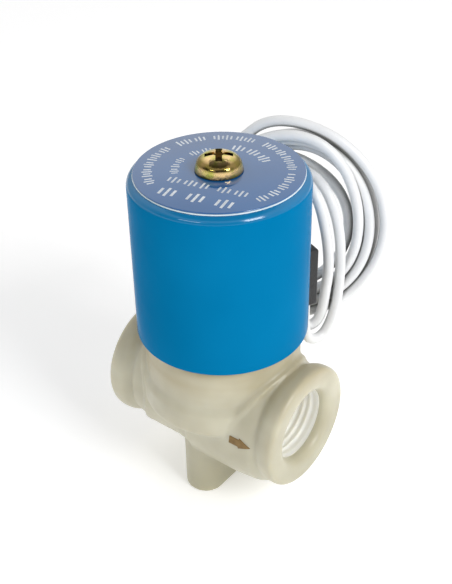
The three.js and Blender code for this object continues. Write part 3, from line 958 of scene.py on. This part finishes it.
def recess_wing(top):
    """One wing of the cross recess, wide at the top and narrow at the bottom, long in X."""
    half_width = 0.55
    bend, bottom = top - 0.9, top - 2.3
    outline = [(-2.5, top), (2.5, top), (2.3, bend), (0.8, bottom), (-0.8, bottom), (-2.3, bend)]
    return prism("wing", *([(x, y, z) for x, z in outline] for y in (-half_width, half_width)))


def retaining_screw():
    """Pan-head screw with a cross recess, seated on the label."""
    base = LABEL_TOP / MM + 0.02
    shank, shank_length, width, rise = 1.7, 10, 3.86, 2.06
    dome = []
    for degrees in range(8, 90, 6):
        angle = math.radians(degrees)
        dome.append((width * math.cos(angle), base + 1 + rise * math.sin(angle)))
    screw = lathe("retaining_screw_head", [
        (0, base - shank_length), (shank, base - shank_length), (shank, base), (3.95, base),
        (4.12, base + 0.15), (width, base + 1.1), *dome, (0, base + 1 + rise),
    ], 96)
    top = base + 3.3
    recess_turn = Matrix.Rotation(math.radians(38), 4, "Z")
    for quarter in (0, 90):
        wing = recess_wing(top)
        wing.data.transform(recess_turn @ Matrix.Rotation(math.radians(quarter), 4, "Z"))
        cut(screw, wing)
    centre = lathe("centre", [(0, top - 2.6), (0.5, top - 2.3), (1.5, top), (0, top)], 4)
    centre.data.transform(recess_turn)
    cut(screw, centre)
    soften(screw, 0.07, 2, 40)
    return fit(finish_mesh(screw, "screw", 35), "valve", "screw_zinc", "retaining_screw")


def lead_outlet():
    block = box("lead_outlet_block", (5.1, 8, 11.9), (15.25, 0, OUTLET_Z), OUTLET_TURN)
    soften(block, 0.5, 3, 30)
    finish_mesh(block, "black", 40)
    return fit(block, "coil_unit", "outlet_plastic", "lead_outlet")


def lead_tie():
    """Cable tie round the ring's section: band, head and cut-off end. Made in mm, then scaled."""
    middle, depth, thick, wall, half = 16.6, 7.7, 4.2, 0.7, 1.2
    head_size, end_size = (3.8, 2.5, 3.6), (0.9, 2.2, 2.1)
    outer = rounded_rectangle(depth / 2 + wall, thick / 2 + wall, 1.2)
    inner = rounded_rectangle(depth / 2, thick / 2, 0.7)
    count = len(outer)
    vertices = [(middle + x, y, z) for z in (-half, half) for ring in (outer, inner) for x, y in ring]
    outer_low, inner_low, outer_high, inner_high = (count * k for k in range(4))
    faces = []
    for i in range(count):
        j = (i + 1) % count
        for a, b in ((outer_low, outer_high), (inner_low, inner_high), (outer_low, inner_low),
                     (outer_high, inner_high)):
            faces.append((a + i, a + j, b + j, b + i))
    tie = finish_mesh(new_object("lead_tie_band", vertices, faces))
    for size, centre in ((head_size, (middle, thick / 2 + 1.25, 0)),
                         (end_size, (middle + 0.9, thick / 2 + 3.2, 0))):
        cut(tie, box("tie_piece", size, centre, unit=1), "UNION")
    soften(tie, 0.18, 2, 30, unit=1)
    turn = LEADS_TURN @ RING_TURN @ Matrix.Rotation(-math.radians(158), 3, "Y")
    tie.data.transform(Matrix.Diagonal((MM, MM, MM, 1)))
    tie.data.transform(Matrix.Translation(LEADS_TURN @ RING_CENTRE * MM) @ turn.to_4x4())
    return fit(finish_mesh(tie, "nylon", 35), "coil_unit", "tie_nylon", "lead_tie")


def return_spring():
    """Open coil spring between the plunger's bore and the fixed core."""
    low, high = (corner[2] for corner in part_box("return_spring"))
    wire, radius, coils, steps, sides = 0.25 * MM, 2.2 * MM, 7, 32, 12
    count = coils * steps
    vertices = []
    for i in range(count + 1):
        angle = 2 * math.pi * i / steps
        z = low + wire + (high - low - 2 * wire) * i / count
        for j in range(sides):
            spin = 2 * math.pi * j / sides
            reach = radius + wire * math.cos(spin)
            vertices.append((reach * math.cos(angle), reach * math.sin(angle), z + wire * math.sin(spin)))
    faces = tube_faces(count + 1, sides) + end_faces(count + 1, sides)
    spring = finish_mesh(new_object("return_spring_wire", vertices, faces), "steel")
    fit(spring, "valve", "spring_steel", "return_spring")
    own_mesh(spring)


coil_cover()
return_spring()
rating_label()
printed_marks()
retaining_screw()
lead_outlet()
lead_tie()


# ---------------------------------------------------------------- finishes of the CAD nodes that stay

NODE_FINISH = {
    "body_seal_ring": "rubber", "plunger_seal": "rubber", "guide_bush": "brass", "guide_tube": "steel",
    "fixed_core": "steel", "plunger": "steel", "bottom_plate": "zinc", "bobbin": "cream",
    "winding": "copper", "winding_tape": "tape", "fill_compound": "black",
}
for name, finish in NODE_FINISH.items():
    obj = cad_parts[name]
    if not obj.material_slots:
        obj.data.materials.append(None)
    for place in obj.material_slots:
        place.material = MATERIALS[finish]


# ---------------------------------------------------------------- floor, light and world

def make_floor():
    half = 3.0
    corners = [(-half, -half, 0), (half, -half, 0), (half, half, 0), (-half, half, 0)]
    floor = new_object("floor", corners, [(0, 1, 2, 3)])
    material, principled = shader("floor", (0.93, 0.93, 0.93), 0.7, Emission_Color=(1, 1, 1, 1),
                                  Emission_Strength=0.3)
    join(material, spread(material, noise(material, 8, 2), 0.65, 0.75), principled.inputs["Roughness"])
    floor.data.materials.append(material)


def make_light(name, place, target, size, power):
    data = bpy.data.lights.new(name, "AREA")
    data.shape = "RECTANGLE"
    data.size, data.size_y = size
    data.energy = power
    light = bpy.data.objects.new(name, data)
    light.location = place
    light.rotation_euler = (Vector(target) - Vector(place)).to_track_quat("-Z", "Y").to_euler()
    bpy.context.collection.objects.link(light)


# brightness of the sky at each height, 0 at the horizon and 1 overhead
BEHIND = [(0, 0.55), (0.5, 1), (0.8, 1), (0.88, 0.15)]
IN_FRONT = [(0, 0.9), (0.16, 0.9), (0.26, 0.12), (0.55, 0.12), (0.76, 0.9), (0.8, 0.9), (0.88, 0.15)]


def make_world():
    """Studio: bright ceiling and back wall, dim low down on the side the valve is seen from."""
    world = bpy.data.worlds.new("studio")
    bpy.context.scene.world = world
    world.use_nodes = True
    background = world.node_tree.nodes["Background"]
    coords = node(world, "ShaderNodeTexCoord").outputs["Generated"]
    parts = node(world, "ShaderNodeSeparateXYZ")
    join(world, coords, parts.inputs["Vector"])
    front = node(world, "ShaderNodeVectorMath", operation="DOT_PRODUCT")
    front.inputs[1].default_value = (0.4, -0.917, 0)
    join(world, coords, front.inputs[0])

    def by_height(stops):
        made = node(world, "ShaderNodeValToRGB")
        ramp = made.color_ramp
        while len(ramp.elements) < len(stops):
            ramp.elements.new(0.5)
        for element, (place, bright) in zip(ramp.elements, stops):
            element.position = place
            element.color = (bright, bright, bright, 1)
        join(world, parts.outputs["Z"], made.inputs["Fac"])
        return made.outputs["Color"]

    mix = node(world, "ShaderNodeMix")
    join(world, spread(world, front.outputs["Value"], 0, 1, -0.15, 0.45), mix.inputs["Factor"])
    join(world, by_height(BEHIND), mix.inputs["A"])
    join(world, by_height(IN_FRONT), mix.inputs["B"])
    join(world, mix.outputs["Result"], background.inputs["Strength"])
    background.inputs["Color"].default_value = (1, 1, 1, 1)


make_floor()
make_world()
make_light("key", (0.62, -0.08, 0.5), (0, 0, 0.04), (0.26, 0.26), 3.2)
make_light("strip", (0.01, -0.66, 0.52), (0, -0.015, 0.064), (0.3, 0.035), 0.5)
bpy.context.scene.view_settings.view_transform = "Standard"
